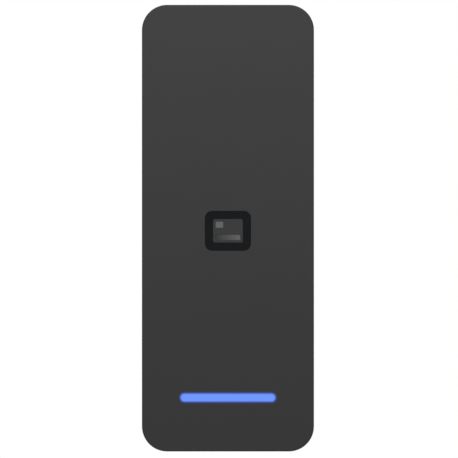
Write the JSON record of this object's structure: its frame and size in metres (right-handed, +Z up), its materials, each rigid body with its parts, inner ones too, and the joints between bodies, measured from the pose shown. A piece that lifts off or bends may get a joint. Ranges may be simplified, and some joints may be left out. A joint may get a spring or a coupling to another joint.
{
  "type": "card reader",
  "caption": "Slim wall-mounted card reader with a lit bar near its lower edge, hung on a steel wall bracket and locked to it by a screw from below.",
  "frame": {"origin": "centre of the wall bracket's rear face, level with the middle of the cover's height", "axes": "+Z up along the reader's height, +Y into the wall, -Y out of the reader's front face, +X to the right seen from the front"},
  "size_m": [0.052, 0.0195, 0.135],
  "materials": {
    "bracket_steel": "zinc-plated pressed steel",
    "cover_plastic": "fine matt dark grey moulded plastic",
    "badge_gloss": "gloss black inlay",
    "badge_grey": "grey printed inlay under gloss",
    "light_bar": "diffusing light bar, lit blue",
    "white_plastic": "white reflector plastic",
    "white_board": "white solder mask",
    "led_body": "moulded light-emitting chip",
    "flex_film": "amber polyimide film",
    "ivory_plastic": "ivory connector plastic",
    "copper_track": "bare copper track",
    "ferrite": "dark ferrite compound",
    "gold_metal": "gold-plated contact",
    "green_board": "green solder mask",
    "tin_metal": "tinned sheet and can",
    "chip_black": "moulded chip package",
    "black_plastic": "black moulded plastic",
    "seal_rubber": "soft dark sealing rubber",
    "tray_plastic": "matt dark grey moulded plastic",
    "vent_fabric": "white breathable membrane",
    "label_film": "plain blank label",
    "brass": "turned brass",
    "screw_steel": "plain stainless steel",
    "red_plastic": "red moulded plastic"
  },
  "bodies": {
    "bracket": {"wall_bracket": "bracket_steel"},
    "reader": {"front_cover": "cover_plastic", "badge_frame": "badge_gloss", "badge_stripe": "badge_grey", "badge_chip": "badge_grey", "light_bar_lens": "light_bar", "light_box": "white_plastic", "led_board": "white_board", "led_chips": "led_body", "led_flex": "flex_film", "led_socket": "ivory_plastic", "antenna_film": "flex_film", "antenna_coil": "copper_track", "ferrite_sheet": "ferrite", "antenna_contacts": "gold_metal", "main_board": "green_board", "radio_shield": "tin_metal", "host_chip": "chip_black", "card_chip": "chip_black", "memory_chip": "chip_black", "crystal_can": "tin_metal", "magnetics": "chip_black", "power_inductor": "ferrite", "bulk_capacitors": "tin_metal", "beeper": "black_plastic", "flex_socket": "ivory_plastic", "network_jack": "black_plastic", "jack_contacts": "gold_metal", "bay_gasket": "seal_rubber", "tamper_switch": "black_plastic", "reset_switch": "black_plastic", "board_screw_1": "screw_steel", "board_screw_2": "screw_steel", "board_screw_3": "screw_steel", "board_screw_4": "screw_steel", "rear_tray": "tray_plastic", "rim_gasket": "seal_rubber", "vent_membrane": "vent_fabric", "blank_label": "label_film", "tray_screw_1": "screw_steel", "tray_screw_2": "screw_steel", "tray_screw_3": "screw_steel", "tray_screw_4": "screw_steel", "tray_screw_5": "screw_steel", "tray_screw_6": "screw_steel", "insert_nut": "brass"},
    "washer": {"screw_washer": "screw_steel"},
    "screw": {"security_screw": "screw_steel"},
    "tamper_pin": {"tamper_plunger": "ivory_plastic"},
    "reset_cap": {"reset_button": "red_plastic"}
  },
  "joints": [
    {"name": "reader_swing", "type": "hinge", "parent": "bracket", "child": "reader", "pos_m": [0, -0.005, 0.06305], "axis": [-1, 0, 0], "range_deg": [0, 15]},
    {"name": "screw_travel", "type": "slide", "parent": "reader", "child": "washer", "axis": [0, 0, -1], "range_m": [0, 0.004]},
    {"name": "screw_spin", "type": "hinge", "parent": "washer", "child": "screw", "pos_m": [0, -0.006, -0.06], "axis": [0, 0, -1], "range_deg": [0, 2880]},
    {"name": "tamper_push", "type": "slide", "parent": "reader", "child": "tamper_pin", "axis": [0, 1, 0], "range_m": [0, 0.0015]},
    {"name": "reset_press", "type": "slide", "parent": "reader", "child": "reset_cap", "axis": [0, -1, 0], "range_m": [0, 0.0005], "stiffness_N_per_m": 600}
  ],
  "couplings": [
    {"joint": "screw_spin", "follows": "screw_travel", "rad_per_m": 12566},
    {"joint": "tamper_push", "follows": "reader_swing", "m_per_rad": 0.0057296}
  ]
}
